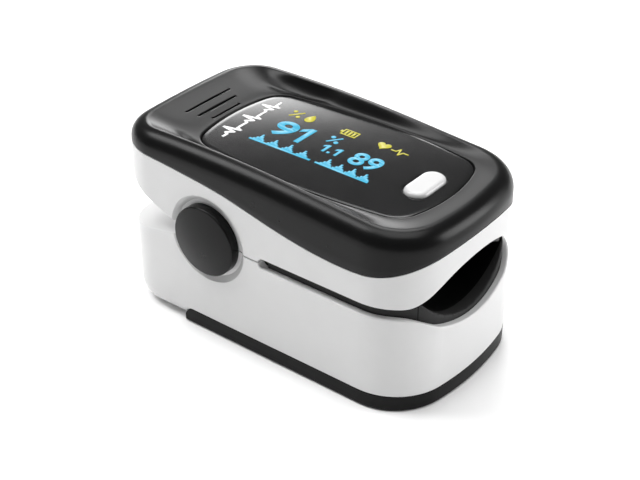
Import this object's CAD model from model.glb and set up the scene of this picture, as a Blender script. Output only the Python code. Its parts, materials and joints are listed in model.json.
"""Looks of the fingertip pulse oximeter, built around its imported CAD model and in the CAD's own frame.

Lengths are in metres. The readout and the printed line are drawn in millimetres.
"""
import json
from math import cos, pi, radians, sin

import bmesh
import bpy
import numpy as np
from mathutils import Matrix, Vector
from mathutils.bvhtree import BVHTree


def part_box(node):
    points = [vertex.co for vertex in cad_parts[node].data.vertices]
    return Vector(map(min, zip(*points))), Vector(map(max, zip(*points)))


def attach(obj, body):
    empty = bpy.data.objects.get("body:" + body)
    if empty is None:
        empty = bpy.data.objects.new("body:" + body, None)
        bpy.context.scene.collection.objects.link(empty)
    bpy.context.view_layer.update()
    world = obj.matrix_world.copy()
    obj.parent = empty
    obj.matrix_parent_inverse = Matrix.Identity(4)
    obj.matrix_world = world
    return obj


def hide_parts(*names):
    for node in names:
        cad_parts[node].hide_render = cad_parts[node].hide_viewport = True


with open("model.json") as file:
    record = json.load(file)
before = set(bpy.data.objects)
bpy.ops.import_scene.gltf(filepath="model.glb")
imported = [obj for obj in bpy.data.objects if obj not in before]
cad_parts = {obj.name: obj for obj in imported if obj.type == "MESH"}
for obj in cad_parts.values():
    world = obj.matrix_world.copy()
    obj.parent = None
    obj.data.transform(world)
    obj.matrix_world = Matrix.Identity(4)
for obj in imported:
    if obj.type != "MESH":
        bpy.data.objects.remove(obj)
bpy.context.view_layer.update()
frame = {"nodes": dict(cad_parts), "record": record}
MM = 0.001


# ---------------------------------------------------------------- materials

ROUGHNESS_SPREAD = 0.12
COAT_ROUGHNESS = 0.12
GRAIN_DEPTH = 0.02 * MM
METAL_SHEEN = 1.15             # the light tone of a metal over its dark one
GLOW_DIMMEST = 0.86            # the weakest dot of a lit segment against the strongest
GLOW_DOT_SCALE = 900


def linear(value):
    """Linear value of an 8-bit display value."""
    v = value / 255
    return v / 12.92 if v <= 0.04045 else ((v + 0.055) / 1.055) ** 2.4


def grey(value, tint=(1, 1, 1)):
    """Linear colour of a display grey, with a slight tint."""
    return (*(linear(value) * t for t in tint), 1)


def noise(tree, scale, detail):
    """Output of a noise texture over the object's own coordinates."""
    where = tree.nodes.new("ShaderNodeTexCoord")
    texture = tree.nodes.new("ShaderNodeTexNoise")
    texture.inputs["Scale"].default_value = scale
    texture.inputs["Detail"].default_value = detail
    tree.links.new(where.outputs["Object"], texture.inputs["Vector"])
    return texture.outputs["Fac"]


def mixed(tree, share, first, second):
    """Output of a colour between two, at the share given by another output."""
    mix = tree.nodes.new("ShaderNodeMixRGB")
    mix.inputs["Color1"].default_value = first
    mix.inputs["Color2"].default_value = second
    tree.links.new(share, mix.inputs["Fac"])
    return mix.outputs["Color"]


def plastic(
    name, dark, light, roughness,
    grain=0.0, grain_scale=9000, mottle_scale=260, specular=0.5, coat=0.0,
):
    """Moulded plastic or rubber: a faint mottle in colour and roughness, and a fine surface grain."""
    material = bpy.data.materials.new(name)
    material.use_nodes = True
    tree = material.node_tree
    shader = tree.nodes["Principled BSDF"]
    mottle = noise(tree, mottle_scale, detail=4)
    tree.links.new(mixed(tree, mottle, dark, light), shader.inputs["Base Color"])
    spread = tree.nodes.new("ShaderNodeMapRange")
    spread.inputs["To Min"].default_value = roughness * (1 - ROUGHNESS_SPREAD)
    spread.inputs["To Max"].default_value = roughness * (1 + ROUGHNESS_SPREAD)
    tree.links.new(mottle, spread.inputs["Value"])
    tree.links.new(spread.outputs["Result"], shader.inputs["Roughness"])
    shader.inputs["Specular IOR Level"].default_value = specular
    shader.inputs["Coat Weight"].default_value = coat
    shader.inputs["Coat Roughness"].default_value = COAT_ROUGHNESS
    if grain:
        bump = tree.nodes.new("ShaderNodeBump")
        bump.inputs["Strength"].default_value = grain
        bump.inputs["Distance"].default_value = GRAIN_DEPTH
        tree.links.new(noise(tree, grain_scale, detail=3), bump.inputs["Height"])
        tree.links.new(bump.outputs["Normal"], shader.inputs["Normal"])
    return material


def metal(name, colour, roughness):
    """Plain metal with a faint drawn grain."""
    light = (*(c * METAL_SHEEN for c in colour[:3]), 1)
    material = plastic(name, colour, light, roughness, grain=0.1)
    material.node_tree.nodes["Principled BSDF"].inputs["Metallic"].default_value = 1
    return material


def glow(name, colour):
    """Lit display segment: a dark face that gives its own light, a little uneven from dot to dot."""
    material = plastic(name, grey(30), grey(34), 0.4)
    tree = material.node_tree
    shader = tree.nodes["Principled BSDF"]
    dimmest = (*(c * GLOW_DIMMEST for c in colour), 1)
    uneven = mixed(tree, noise(tree, GLOW_DOT_SCALE, detail=2), dimmest, (*colour, 1))
    tree.links.new(uneven, shader.inputs["Emission Color"])
    shader.inputs["Emission Strength"].default_value = 1
    return material


PLASTICS = {                   # dark tone, light tone, roughness, other settings
    "white_shell": (grey(209), grey(213), 0.34, {"grain": 0.05, "specular": 0.4}),
    "black_cover": (grey(9), grey(12, (1, 1, 1.04)), 0.29, {"grain": 0.02, "specular": 0.17}),
    "dark_window": (grey(14), grey(16, (1, 1, 1.05)), 0.14, {"specular": 0.3}),
    "white_button": (grey(192), grey(195), 0.22, {}),
    "charcoal_cover": (grey(15), grey(19), 0.4, {"grain": 0.2, "specular": 0.12}),
    "black_cap": (grey(9), grey(12), 0.26, {"grain": 0.05, "specular": 0.17}),
    "grey_rubber": (grey(48), grey(52), 0.55, {"grain": 0.4, "grain_scale": 5000, "specular": 0.1}),
    "tray_plastic": (grey(205), grey(212), 0.45, {"grain": 0.2}),
    "inner_black_plastic": (grey(30), grey(34), 0.5, {"grain": 0.3}),
    "cell_can": ((0.03, 0.09, 0.24, 1), (0.035, 0.1, 0.27, 1), 0.25, {"coat": 0.6}),
    "board_green": ((0.006, 0.07, 0.02, 1), (0.01, 0.1, 0.03, 1), 0.35, {"mottle_scale": 1500}),
    "chip_black": (grey(28), grey(33), 0.5, {"grain": 0.4}),
    "flex_amber": ((0.35, 0.12, 0.01, 1), (0.42, 0.16, 0.015, 1), 0.3, {"coat": 0.4}),
    "clear_lens": (grey(150), grey(165), 0.12, {"specular": 0.6}),
    "display_glass": (grey(20), grey(24), 0.12, {}),
    "white_print": (grey(240), grey(246), 0.4, {}),
}
METALS = {                     # colour, roughness
    "steel": (grey(180), 0.28),
    "nickel_plate": (grey(195, (1, 0.97, 0.92)), 0.22),
    "gold_pin": ((0.75, 0.5, 0.18, 1), 0.25),
}
MATERIALS = {name: plastic(name, *tones, **extra) for name, (*tones, extra) in PLASTICS.items()}
MATERIALS.update((name, metal(name, *look)) for name, look in METALS.items())
CYAN = glow("cyan_glow", (0.07, 0.56, 0.84))
YELLOW = glow("yellow_glow", (0.72, 0.66, 0.05))


for part in frame["record"]["subparts"]:
    mesh = frame["nodes"][part["node"]].data
    mesh.materials.clear()
    mesh.materials.append(MATERIALS[part["material_slot"]])


# ---------------------------------------------------------------- mesh helpers

def linked(name, data):
    """A new object in the scene."""
    item = bpy.data.objects.new(name, data)
    bpy.context.scene.collection.objects.link(item)
    return item


def outward_mesh(name, verts, faces):
    """A new mesh with its faces turned outwards."""
    mesh = bpy.data.meshes.new(name)
    mesh.from_pydata([tuple(v) for v in verts], [], faces)
    mesh.validate()
    work = bmesh.new()
    work.from_mesh(mesh)
    bmesh.ops.recalc_face_normals(work, faces=work.faces)
    work.to_mesh(mesh)
    work.free()
    return mesh


def new_piece(name, verts, faces, material, body):
    """A smooth mesh piece that rides on a CAD body."""
    mesh = outward_mesh(name, verts, faces)
    mesh.materials.append(material)
    mesh.shade_smooth()
    piece = linked(name, mesh)
    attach(piece, body)
    return piece


def apply_modifiers(piece):
    """Bakes the piece's modifiers into its mesh."""
    graph = bpy.context.evaluated_depsgraph_get()
    graph.update()
    mesh = bpy.data.meshes.new_from_object(piece.evaluated_get(graph))
    piece.modifiers.clear()
    piece.data = mesh


def hull_outline(node):
    """Plan outline of a CAD node, as a closed loop of points in the XY plane, anticlockwise."""
    points = sorted({(round(v.co.x, 7), round(v.co.y, 7)) for v in frame["nodes"][node].data.vertices})

    def half(ordered):
        chain = []
        for p in ordered:
            while len(chain) > 1:
                (ax, ay), (bx, by) = chain[-2], chain[-1]
                if (bx - ax) * (p[1] - ay) - (by - ay) * (p[0] - ax) > 0:
                    break
                chain.pop()
            chain.append(p)
        return chain[:-1]

    return np.array(half(points) + half(points[::-1]))


def resample(loop, count):
    """The closed loop as evenly spaced points."""
    closed = np.vstack([loop, loop[:1]])
    along = np.concatenate([[0], np.cumsum(np.linalg.norm(np.diff(closed, axis=0), axis=1))])
    places = np.linspace(0, along[-1], count, endpoint=False)
    return np.column_stack([np.interp(places, along, closed[:, k]) for k in (0, 1)])


def smoothed(loop):
    """The closed loop with small unevenness taken out."""
    for _ in range(SMOOTH_PASSES):
        loop = (np.roll(loop, 1, axis=0) + 2 * loop + np.roll(loop, -1, axis=0)) / 4
    return loop


def inward(loop):
    """Unit normals of an anticlockwise loop, pointing in."""
    along = np.roll(loop, -1, axis=0) - np.roll(loop, 1, axis=0)
    along /= np.linalg.norm(along, axis=1)[:, None]
    return np.column_stack([-along[:, 1], along[:, 0]])


def on_ray(loop, centre, towards):
    """Where the rays from centre through each point of towards cross the loop."""
    angle = np.arctan2(loop[:, 1] - centre[1], loop[:, 0] - centre[0])
    order = np.argsort(angle)
    angle, ordered = angle[order], loop[order]
    angle = np.concatenate([angle[-3:] - 2 * pi, angle, angle[:3] + 2 * pi])
    ordered = np.vstack([ordered[-3:], ordered, ordered[:3]])
    wanted = np.arctan2(towards[:, 1] - centre[1], towards[:, 0] - centre[0])
    return np.column_stack([np.interp(wanted, angle, ordered[:, k]) for k in (0, 1)])


def at_height(plan, z):
    """Points of a ring: a plan loop at height z, which is one number or one for each point."""
    return np.column_stack([plan, np.broadcast_to(z, len(plan))])


def ring_faces(rings, count, closed=False):
    """Quads between rings of count points each; closed joins the last ring to the first."""
    faces = []
    for ring in range(rings if closed else rings - 1):
        after = (ring + 1) % rings
        for k in range(count):
            nxt = (k + 1) % count
            faces.append((ring * count + k, ring * count + nxt, after * count + nxt, after * count + k))
    return faces


def smooth_step(t):
    """Eases from 0 to 1, level at both ends."""
    t = np.clip(t, 0, 1)
    return t * t * (3 - 2 * t)


def natural_spline(x, y, wanted):
    """Natural cubic spline through the stations (x, y)."""
    n = len(x)
    h = np.diff(x)
    slope = np.diff(y) / h
    matrix = np.eye(n)
    right = np.zeros(n)
    for k in range(1, n - 1):
        matrix[k, k - 1:k + 2] = h[k - 1], 2 * (h[k - 1] + h[k]), h[k]
        right[k] = 6 * (slope[k] - slope[k - 1])
    bend = np.linalg.solve(matrix, right)
    k = np.clip(np.searchsorted(x, wanted) - 1, 0, n - 2)
    a, b = x[k + 1] - wanted, wanted - x[k]
    return (
        (bend[k] * a**3 + bend[k + 1] * b**3) / (6 * h[k])
        + (y[k] / h[k] - bend[k] * h[k] / 6) * a + (y[k + 1] / h[k] - bend[k + 1] * h[k] / 6) * b
    )


# ---------------------------------------------------------------- top cover

OUTLINE_POINTS = 640
SMOOTH_PASSES = 10
WINDOW_CENTRE = np.array([3.0, 0.0]) * MM
WINDOW_LOW, WINDOW_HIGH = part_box("display_window")
COVER_OUTLINE = smoothed(resample(hull_outline("top_cover"), OUTLINE_POINTS))
WINDOW_OUTLINE = smoothed(resample(hull_outline("display_window"), OUTLINE_POINTS))

# Stations of the seam with the white shell, as in the CAD, and of the crest above it.
SEAM_X = np.array([-31.6, -23.7, -13.4, -5.9, 1.3, 8.4, 17.5, 25.1, 29.0, 31.6]) * MM
SEAM_Z = np.array([30.1, 29.6, 28.7, 27.7, 26.1, 24.75, 24.0, 24.95, 26.55, 28.4]) * MM
CREST_X = np.array([-30.6, -26, -16, -6, 4, 14, 22, 30.6]) * MM
CREST_Z = np.array([32.85, 33.1, 33.4, 33.35, 32.95, 32.25, 31.75, 31.45]) * MM

WALL = 1.5 * MM
CEILING_Z = 29.3 * MM
INNER_FOOT = 0.03 * MM         # how far the wall's inner foot is above the seam
INNER_SIDE = 0.2 * MM          # the least height of the wall's inner side over the seam
FOOT_ROUNDING = np.array([(0.15, 0.03), (0.04, 0.07), (0.0, 0.18)]) * MM   # inset, height over the seam
SIDE_RINGS = (0.33, 0.66)
SIDE_LEAST = 0.4 * MM          # upright stretch that is left under the shoulder
SHOULDER_RUN = 2.8 * MM
SHOULDER_DROP = 3.1 * MM
SHOULDER_RINGS = 14
DISH_RINGS = 28
DISH_EASED = 0.45              # share of the dish's fall that eases in and out; the rest starts steeply
DISH_STEEPNESS = 1.6
WINDOW_GAP = 0.15 * MM
WINDOW_EDGE_Z = 31.35 * MM
LEDGE = 1.4 * MM
SEAT_PLAY = 0.02 * MM
SEAT_LIP = (0.05, 0.12 * MM)   # share of the way from the dish's edge to the ledge's, and depth
SEAT_WALL = 0.06               # the same share for the seat's wall
DIMPLE_X = -14 * MM
DIMPLE_Y = 12.9 * MM
DIMPLE_SIZE = (5.7 * MM, 1.45 * MM)
DIMPLE_DEPTH = 0.62 * MM
DIMPLE_TILT = radians(7)
DIMPLE_FADE = 0.7


def dimples(x, y):
    """Depth of the two long hollows beside the window's rear corners."""
    along = (x - DIMPLE_X) * cos(DIMPLE_TILT) + (abs(y) - DIMPLE_Y) * sin(DIMPLE_TILT)
    across = (abs(y) - DIMPLE_Y) * cos(DIMPLE_TILT) - (x - DIMPLE_X) * sin(DIMPLE_TILT)
    return DIMPLE_DEPTH * np.exp(-((along / DIMPLE_SIZE[0]) ** 4) - (across / DIMPLE_SIZE[1]) ** 4)


def make_top_cover():
    """Black cover: wall, round shoulder, crest, a dish down to the window, and the window's seat."""
    normal = inward(COVER_OUTLINE)
    inner_wall = COVER_OUTLINE + normal * WALL
    crest_line = COVER_OUTLINE + normal * SHOULDER_RUN
    window_normal = inward(WINDOW_OUTLINE)
    dish_edge = smoothed(on_ray(WINDOW_OUTLINE - window_normal * WINDOW_GAP, WINDOW_CENTRE, crest_line))
    ledge_edge = smoothed(on_ray(WINDOW_OUTLINE + window_normal * LEDGE, WINDOW_CENTRE, crest_line))
    seam = natural_spline(SEAM_X, SEAM_Z, COVER_OUTLINE[:, 0])
    crest = natural_spline(CREST_X, CREST_Z, COVER_OUTLINE[:, 0])
    drop = np.minimum(SHOULDER_DROP, crest - seam - SIDE_LEAST)

    rings = [at_height(inner_wall, seam + INNER_FOOT)]
    rings += [at_height(COVER_OUTLINE + normal * inset, seam + rise) for inset, rise in FOOT_ROUNDING]
    side_low, side_high = seam + FOOT_ROUNDING[-1][1], crest - drop
    rings += [at_height(COVER_OUTLINE, side_low + (side_high - side_low) * share) for share in SIDE_RINGS]
    for k in range(SHOULDER_RINGS + 1):
        angle = pi / 2 * k / SHOULDER_RINGS
        plan = COVER_OUTLINE + normal * SHOULDER_RUN * (1 - cos(angle))
        rings.append(at_height(plan, crest - drop * (1 - sin(angle))))
    for k in range(1, DISH_RINGS + 1):
        share = k / DISH_RINGS
        steep = 1 - (1 - share) ** DISH_STEEPNESS
        fall = DISH_EASED * smooth_step(share) + (1 - DISH_EASED) * steep
        plan = crest_line + (dish_edge - crest_line) * share
        hollow = dimples(plan[:, 0], plan[:, 1]) * sin(pi * share) ** DIMPLE_FADE
        rings.append(at_height(plan, crest + (WINDOW_EDGE_Z - crest) * fall - hollow))
    seat_z = WINDOW_LOW.z - SEAT_PLAY
    seat_lip = dish_edge + (ledge_edge - dish_edge) * SEAT_LIP[0]
    seat_wall = dish_edge + (ledge_edge - dish_edge) * SEAT_WALL
    rings += [
        at_height(seat_lip, WINDOW_EDGE_Z - SEAT_LIP[1]),
        at_height(seat_wall, (WINDOW_EDGE_Z + WINDOW_LOW.z) / 2),
        at_height(seat_wall, seat_z),
        at_height(ledge_edge, seat_z),
        at_height(ledge_edge, CEILING_Z),
        at_height(inner_wall, np.maximum(np.minimum(side_high, CEILING_Z), seam + INNER_SIDE)),
    ]
    faces = ring_faces(len(rings), OUTLINE_POINTS, closed=True)
    black = MATERIALS["black_cover"]
    return new_piece("top_cover_shell", np.vstack(rings), faces, black, "upper_jaw")


def stadium(x, length, width, count=48):
    """Outline of a slot with round ends, centred at (x, 0), whose long side runs along Y."""
    points = []
    for k in range(count):
        angle = 2 * pi * k / count
        straight = (length - width) / 2 * (1 if sin(angle) > 0 else -1)
        points.append((width / 2 * cos(angle) + x, width / 2 * sin(angle) + straight))
    return points


def prism(name, outline, low, high):
    """Upright prism used as a cutter."""
    count = len(outline)
    verts = [(x, y, low) for x, y in outline] + [(x, y, high) for x, y in outline]
    faces = ring_faces(2, count) + [tuple(range(count)), tuple(range(count, 2 * count))]
    return linked(name, outward_mesh(name, verts, faces))


def cut(piece, cutters):
    """Takes the cutters out of the piece and removes them."""
    for cutter in cutters:
        difference = piece.modifiers.new("cut", "BOOLEAN")
        difference.operation = "DIFFERENCE"
        difference.object = cutter
        difference.solver = "EXACT"
    apply_modifiers(piece)
    for cutter in cutters:
        bpy.data.objects.remove(cutter)


GROOVES = np.array([(-24.0, 11.0), (-22.0, 9.5), (-20.0, 7.0)]) * MM       # X, length across the cover
GROOVE_WIDTH = 0.36 * MM
GROOVE_DEPTH = 0.18 * MM
ABOVE_COVER_Z = 50 * MM
CUTTER_RISE = 2 * MM


def groove_cutters(piece):
    """One slot cutter for each groove across the rear of the cover."""
    surface = BVHTree.FromObject(piece, bpy.context.evaluated_depsgraph_get())
    cutters = []
    for k, (x, length) in enumerate(GROOVES):
        z = surface.ray_cast(Vector((x, 0, ABOVE_COVER_Z)), Vector((0, 0, -1)))[0].z
        outline = stadium(x, length, GROOVE_WIDTH)
        cutters.append(prism(f"groove_{k}", outline, z - GROOVE_DEPTH, z + CUTTER_RISE))
    return cutters


cover = make_top_cover()
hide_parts("top_cover")
cut(cover, groove_cutters(cover))


# ---------------------------------------------------------------- display window

WINDOW_RINGS = 30
WINDOW_LIP_R = 0.35 * MM
LIP_RINGS = 6
DOME_SIZE = (22.5 * MM, 12.3 * MM)     # half length and half width at the dome's foot
DOME_FOOT_Z = 31.12 * MM
DOME_RISE = (0.4 * MM, 0.12 * MM)      # along the window and across it
BUTTON_SIZE = (8.3 * MM, 4.2 * MM)
BUTTON_HOLE_GAP = 0.1 * MM


def window_top(x, y):
    """Height of the window's low dome."""
    along = (x - WINDOW_CENTRE[0]) / DOME_SIZE[0]
    across = y / DOME_SIZE[1]
    return DOME_FOOT_Z + DOME_RISE[0] * (1 - along**2) + DOME_RISE[1] * (1 - across**2)


def make_window():
    """Smoked window: a barrel-shaped plate with a low dome and a round lip."""
    normal = inward(WINDOW_OUTLINE)
    top = window_top(WINDOW_OUTLINE[:, 0], WINDOW_OUTLINE[:, 1])
    rings = [at_height(WINDOW_OUTLINE, z) for z in (WINDOW_LOW.z, (top - WINDOW_LIP_R + WINDOW_LOW.z) / 2)]
    for k in range(LIP_RINGS + 1):
        angle = pi / 2 * k / LIP_RINGS
        plan = WINDOW_OUTLINE + normal * WINDOW_LIP_R * (1 - cos(angle))
        rings.append(at_height(plan, window_top(plan[:, 0], plan[:, 1]) - WINDOW_LIP_R * (1 - sin(angle))))
    lip = WINDOW_OUTLINE + normal * WINDOW_LIP_R
    for k in range(1, WINDOW_RINGS):
        plan = lip + (WINDOW_CENTRE - lip) * k / WINDOW_RINGS
        rings.append(at_height(plan, window_top(plan[:, 0], plan[:, 1])))
    verts = [*np.vstack(rings), (*WINDOW_CENTRE, window_top(*WINDOW_CENTRE))]
    last = (len(rings) - 1) * OUTLINE_POINTS
    faces = ring_faces(len(rings), OUTLINE_POINTS)
    faces += [(last + k, last + (k + 1) % OUTLINE_POINTS, len(verts) - 1) for k in range(OUTLINE_POINTS)]
    faces.append(tuple(range(OUTLINE_POINTS)))
    return new_piece("window_lens", verts, faces, MATERIALS["dark_window"], "upper_jaw")


def button_hole_cutter():
    """Cutter of the hole around the power button."""
    low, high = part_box("power_button")
    length, width = (size + 2 * BUTTON_HOLE_GAP for size in BUTTON_SIZE)
    outline = stadium((low.x + high.x) / 2, length, width)
    return prism("button_hole", outline, WINDOW_LOW.z - MM, WINDOW_HIGH.z + MM)


window = make_window()
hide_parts("display_window")
cut(window, [button_hole_cutter()])


# ---------------------------------------------------------------- lit display and printed line
# Places and sizes on the window are in millimetres here; only LIFT is in metres.

LIFT = 0.02 * MM               # how far the plates stand off the window, and how thick they are
DIGIT_WEIGHT = 0.025
DIGIT_RESOLUTION = 6
LINE_OVERLAP = 0.35            # how far a run of a line reaches past its ends, in line widths


def lay_on_window(mesh):
    """Lays a flat mesh, drawn in the XY plane, on the window's dome."""
    for v in mesh.vertices:
        v.co.z += window_top(v.co.x, v.co.y) + LIFT


def plates(name, outlines, material):
    """Thin plates with the given outlines, laid on the window."""
    verts, faces = [], []
    for outline in outlines:
        base = len(verts)
        count = len(outline)
        verts += [(x * MM, y * MM, z) for z in (0, LIFT) for x, y in outline]
        faces += [tuple(base + k for k in face) for face in ring_faces(2, count)]
        faces += [tuple(range(base, base + count)), tuple(range(base + count, base + 2 * count))]
    piece = new_piece(name, verts, faces, material, "upper_jaw")
    lay_on_window(piece.data)


def digits(name, text, corner, height, width, material):
    """Lit digits whose lower left corner is at corner, stretched to height and width."""
    font = bpy.data.curves.new(name, "FONT")
    font.body = text
    font.offset = DIGIT_WEIGHT
    font.resolution_u = DIGIT_RESOLUTION
    carrier = linked(name + "_carrier", font)
    bpy.context.view_layer.update()
    mesh = bpy.data.meshes.new_from_object(carrier.evaluated_get(bpy.context.evaluated_depsgraph_get()))
    bpy.data.objects.remove(carrier)
    places = np.array([v.co for v in mesh.vertices])
    low, high = places.min(axis=0), places.max(axis=0)
    for v in mesh.vertices:
        v.co.x = (corner[0] + (v.co.x - low[0]) / (high[0] - low[0]) * width) * MM
        v.co.y = (corner[1] + (v.co.y - low[1]) / (high[1] - low[1]) * height) * MM
        v.co.z = 0
    work = bmesh.new()
    work.from_mesh(mesh)
    walls = bmesh.ops.extrude_face_region(work, geom=list(work.faces))
    for item in walls["geom"]:
        if isinstance(item, bmesh.types.BMVert):
            item.co.z += LIFT
    bmesh.ops.recalc_face_normals(work, faces=work.faces)
    work.to_mesh(mesh)
    work.free()
    mesh.materials.clear()
    mesh.materials.append(material)
    piece = linked(name, mesh)
    lay_on_window(mesh)
    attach(piece, "upper_jaw")


def strip(points, width):
    """Outlines of a line of constant width through the points: one small plate for each run."""
    outlines = []
    for (ax, ay), (bx, by) in zip(points, points[1:]):
        along = Vector((bx - ax, by - ay))
        side = Vector((-along.y, along.x)).normalized() * width / 2
        grow = along.normalized() * width * LINE_OVERLAP
        outlines.append([
            (ax - grow.x + side.x, ay - grow.y + side.y), (ax - grow.x - side.x, ay - grow.y - side.y),
            (bx + grow.x - side.x, by + grow.y - side.y), (bx + grow.x + side.x, by + grow.y + side.y),
        ])
    return outlines


def rectangle(x, y, width, height):
    """Outline of a rectangle whose lower left corner is at (x, y)."""
    return [(x, y), (x + width, y), (x + width, y + height), (x, y + height)]


def circle(x, y, radius, count=24):
    """Outline of a dot centred at (x, y)."""
    angles = [2 * pi * k / count for k in range(count)]
    return [(x + radius * cos(a), y + radius * sin(a)) for a in angles]


def figure_one(x, y, width, height, stroke):
    """Outlines of a figure 1 with a flag."""
    right = x + width
    stem = rectangle(right - stroke, y, stroke, height)
    flag = [
        (right - stroke, y + height), (x, y + height * 0.8), (x, y + height * 0.8 - stroke),
        (right - stroke, y + height - stroke * 1.15),
    ]
    return [stem, flag]


def percent_sign(foot, head, dots, radius, stroke):
    """Outlines of a percent sign: a slanting line from foot to head, and two dots."""
    return strip([foot, head], stroke) + [circle(x, y, radius) for x, y in dots]


def drop(x, y, half_width, half_height, count=40):
    """Outline of a drop centred at (x, y)."""
    angles = np.linspace(0.01, 2 * pi - 0.01, count)
    return [(x + half_width * sin(a) * sin(a / 2) ** 0.8, y + half_height * cos(a)) for a in angles]


def heart(x, y, size, count=48):
    """Outline of a heart centred at (x, y); its whole width is 32 times the size."""
    angles = np.linspace(0, 2 * pi, count, endpoint=False)
    return [
        (x + size * 16 * sin(a) ** 3, y + size * (13 * cos(a) - 5 * cos(2 * a) - 2 * cos(3 * a) - cos(4 * a)))
        for a in angles
    ]


def battery():
    """Outlines of a battery symbol: its case, its terminal and three bars of charge."""
    case = strip([(0.0, 5.1), (2.7, 5.1), (2.7, 6.7), (0.0, 6.7), (0.0, 5.1)], 0.24)
    terminal = rectangle(-0.5, 5.6, 0.4, 0.6)
    return case + [terminal] + [rectangle(0.45 + 0.7 * k, 5.35, 0.42, 1.1) for k in range(3)]


BEAT_BARS = (0.35, 0.9, 1.9, 1.3, 0.75, 0.4)
BAR_WIDTH = 0.36
BARS_Y = -4.66


def beat_bars(x, beats, spacing):
    """Outlines of upright bars that rise and fall with each beat; every other beat is a little lower."""
    return [
        rectangle(x + n * spacing + k * BAR_WIDTH, BARS_Y, BAR_WIDTH, height * (1 - 0.1 * (n % 2)))
        for n in range(beats) for k, height in enumerate(BEAT_BARS)
    ]


def make_display():
    """Readout: two large numbers, a small one, simple symbols above them and a pulse bar graph below."""
    digits("reading_oxygen_tens", "9", (-10.2, -1.7), 5.1, 4.2, CYAN)
    plates("reading_oxygen_ones", figure_one(-5.6, -1.7, 2.2, 5.1, 0.95), CYAN)
    index = figure_one(0.5, -1.5, 1.1, 2.3, 0.5)
    index += [rectangle(2.1, -1.5, 0.5, 0.5)]
    index += figure_one(2.9, -1.5, 1.1, 2.3, 0.5)
    index += percent_sign((-0.1, 1.6), (1.5, 3.7), [(0.0, 3.3), (1.4, 2.0)], 0.42, 0.34)
    plates("reading_index", index, CYAN)
    digits("reading_pulse", "89", (6.1, -2.0), 4.1, 5.5, CYAN)
    base_lines = [rectangle(-10.8, -5.1, 12.4, 0.45), rectangle(2.6, -5.1, 10.2, 0.45)]
    plates("pulse_graph", base_lines + beat_bars(-10.3, 4, 2.95) + beat_bars(3.3, 4, 2.4), CYAN)
    symbols = percent_sign((-10.6, 5.1), (-9.0, 7.1), [(-10.6, 6.8), (-9.1, 5.4)], 0.38, 0.32)
    symbols += [drop(-6.9, 6.1, 1.05, 1.25)]
    symbols += battery()
    symbols += [heart(8.0, 5.95, 0.075)]
    symbols += strip([(9.7, 5.7), (10.5, 5.7), (10.9, 6.6), (11.4, 4.9), (11.8, 5.9), (12.7, 5.9)], 0.26)
    plates("header_symbols", symbols, YELLOW)


PRINT_START = (-14.6, -6.9)
PRINT_WIDTH = 0.5
PRINTED_BEATS = 3
PRINTED_BEAT = [               # along the line, rise
    (0.0, 0.0), (0.9, 0.0), (1.3, 0.6), (1.7, 0.0), (2.1, -0.5),
    (2.6, 2.1), (3.1, -1.0), (3.5, 0.0), (4.9, 0.0),
]


def make_printed_line():
    """White pulse trace printed across the window's rear."""
    x, y = PRINT_START
    points = []
    for n in range(PRINTED_BEATS):
        beat = PRINTED_BEAT[1:] if n else PRINTED_BEAT     # a later beat starts where the last one ended
        points += [(x - rise, y + PRINTED_BEAT[-1][0] * n + along) for along, rise in beat]
    plates("printed_pulse_line", strip(points, PRINT_WIDTH), MATERIALS["white_print"])


make_display()
make_printed_line()


# ---------------------------------------------------------------- rubber pads

PAD_VOXEL = 0.22 * MM
PAD_SOFTENING = 0.5
PAD_SOFTENING_PASSES = 5
PAD_FACES_KEPT = 0.35
CHANNEL_RIM_X = 27.5 * MM
CHANNEL_HALF_WIDTH = 11.8 * MM
CHANNEL_BLACK = grey(7)


def soft_copy(node, name, body, slot):
    """The moulded rubber form of a CAD solid: the same size, with every edge softly rounded."""
    piece = linked(name, frame["nodes"][node].data.copy())
    remesh = piece.modifiers.new("even", "REMESH")
    remesh.mode = "VOXEL"
    remesh.voxel_size = PAD_VOXEL
    soften = piece.modifiers.new("soften", "SMOOTH")
    soften.factor = PAD_SOFTENING
    soften.iterations = PAD_SOFTENING_PASSES
    thin = piece.modifiers.new("thin", "DECIMATE")
    thin.ratio = PAD_FACES_KEPT
    apply_modifiers(piece)
    piece.data.shade_smooth()
    piece.data.materials.clear()
    piece.data.materials.append(MATERIALS[slot])
    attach(piece, body)
    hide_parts(node)


def blacken_channel(material):
    """Black lining inside the finger channel, behind the pads' grey rim."""
    tree = material.node_tree
    shader = tree.nodes["Principled BSDF"]
    rubber = shader.inputs["Base Color"].links[0].from_socket
    where = tree.nodes.new("ShaderNodeTexCoord")
    axes = tree.nodes.new("ShaderNodeSeparateXYZ")
    tree.links.new(where.outputs["Object"], axes.inputs["Vector"])

    def worked_out(operation, value, other=None):
        """Output of an operation on another output and a number or a second output."""
        node = tree.nodes.new("ShaderNodeMath")
        node.operation = operation
        tree.links.new(value, node.inputs[0])
        if isinstance(other, float):
            node.inputs[1].default_value = other
        elif other:
            tree.links.new(other, node.inputs[1])
        return node.outputs[0]

    behind_rim = worked_out("LESS_THAN", axes.outputs["X"], CHANNEL_RIM_X)
    off_centre = worked_out("ABSOLUTE", axes.outputs["Y"])
    between_walls = worked_out("LESS_THAN", off_centre, CHANNEL_HALF_WIDTH)
    lining = tree.nodes.new("ShaderNodeMixRGB")
    lining.inputs["Color2"].default_value = CHANNEL_BLACK
    tree.links.new(worked_out("MULTIPLY", behind_rim, between_walls), lining.inputs["Fac"])
    tree.links.new(rubber, lining.inputs["Color1"])
    tree.links.new(lining.outputs["Color"], shader.inputs["Base Color"])


blacken_channel(MATERIALS["grey_rubber"])
soft_copy("lower_finger_pad", "lower_pad_rubber", "lower_jaw", "grey_rubber")
soft_copy("upper_finger_pad", "upper_pad_rubber", "upper_jaw", "grey_rubber")


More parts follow.
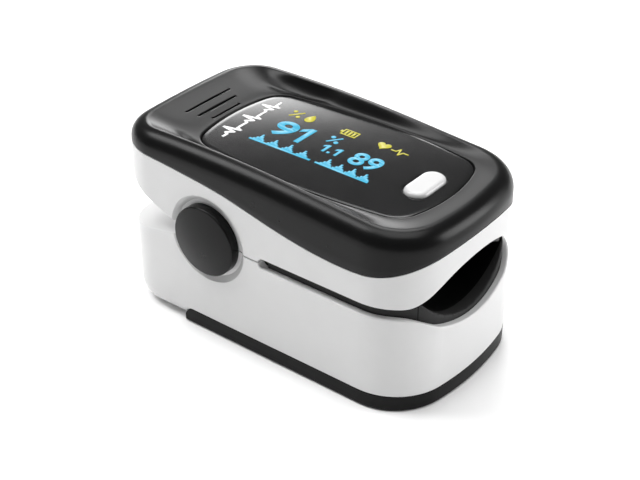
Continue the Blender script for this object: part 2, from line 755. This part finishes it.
# ---------------------------------------------------------------- stage, lights and camera

FLOOR_HALF = 4
FLOOR_DROP = 0.02 * MM
ROOM_LIGHT = 0.2
LIGHTS = (                     # name, place, point aimed at, width, power in watts, height over width
    ("overhead", (0.05, 0.05, 1.0), (0, 0, 0), 0.7, 6.3, 1.0),
    ("right", (0.78, 0.65, 0.3), (0, 0, 0.01), 0.5, 6.0, 1.0),
    ("shoulder_streak", (-0.37, -0.14, 0.58), (0, 0, 0.03), 0.3, 3.2, 1.2),
    ("rear_low", (-0.62, 0.78, 0.34), (0, 0, 0.03), 0.36, 2.6, 0.7),
    ("rear_high", (-0.34, 0.5, 0.78), (0, 0, 0.03), 0.3, 2.8, 1.0),
)
CAMERA_AZIMUTH = radians(38.32)
CAMERA_ELEVATION = radians(32.64)
CAMERA_ROLL = radians(-0.25)
CAMERA_DISTANCE = 239.1 * MM
CAMERA_FORWARD = 0.6 * MM      # the point looked from is moved this far along the object's length,
CAMERA_LEFT = 0.75 * MM        # to the left in the picture
CAMERA_UP = 11.78 * MM         # and up in the picture
CAMERA_LENS = 78.82
CAMERA_FILM = 36
CAMERA_CLIP = 10 * MM


def make_floor():
    """Plain pale floor."""
    corners = rectangle(-FLOOR_HALF, -FLOOR_HALF, 2 * FLOOR_HALF, 2 * FLOOR_HALF)
    mesh = bpy.data.meshes.new("floor")
    mesh.from_pydata([(x, y, 0) for x, y in corners], [], [(0, 1, 2, 3)])
    mesh.materials.append(plastic("floor_white", grey(252), grey(254), 0.9, mottle_scale=3, specular=0.1))
    floor = linked("floor", mesh)
    floor.location.z = -FLOOR_DROP


def area_light(name, place, target, width, power, shape_ratio):
    """Soft rectangular light at place, aimed at target."""
    data = bpy.data.lights.new(name, "AREA")
    data.shape = "RECTANGLE"
    data.size = width
    data.size_y = width * shape_ratio
    data.energy = power
    light = linked(name, data)
    light.location = place
    light.rotation_euler = (Vector(target) - Vector(place)).to_track_quat("-Z", "Y").to_euler()


def make_lights():
    """Soft studio light: a dim pale room, an overhead softbox, one at the right and three for the streaks."""
    world = bpy.data.worlds.new("studio")
    world.use_nodes = True
    background = world.node_tree.nodes["Background"]
    background.inputs["Color"].default_value = (1, 1, 1, 1)
    background.inputs["Strength"].default_value = ROOM_LIGHT
    bpy.context.scene.world = world
    for light in LIGHTS:
        area_light(*light)


def make_camera():
    """Camera at the object's near front corner, looking down on it."""
    back = Vector((
        sin(CAMERA_AZIMUTH) * cos(CAMERA_ELEVATION), -cos(CAMERA_AZIMUTH) * cos(CAMERA_ELEVATION),
        sin(CAMERA_ELEVATION),
    ))
    level = Vector((cos(CAMERA_AZIMUTH), sin(CAMERA_AZIMUTH), 0))
    upright = back.cross(level)
    right = level * cos(CAMERA_ROLL) + upright * sin(CAMERA_ROLL)
    up = upright * cos(CAMERA_ROLL) - level * sin(CAMERA_ROLL)
    data = bpy.data.cameras.new("camera")
    data.sensor_width = CAMERA_FILM
    data.lens = CAMERA_LENS
    data.clip_start = CAMERA_CLIP
    camera = linked("camera", data)
    place = back * CAMERA_DISTANCE - right * CAMERA_LEFT + up * CAMERA_UP + Vector((CAMERA_FORWARD, 0, 0))
    turn = Matrix((right, up, back)).transposed()
    camera.matrix_world = Matrix.Translation(place) @ turn.to_4x4()
    bpy.context.scene.camera = camera


make_floor()
make_lights()
make_camera()
bpy.context.scene.view_settings.view_transform = "Standard"
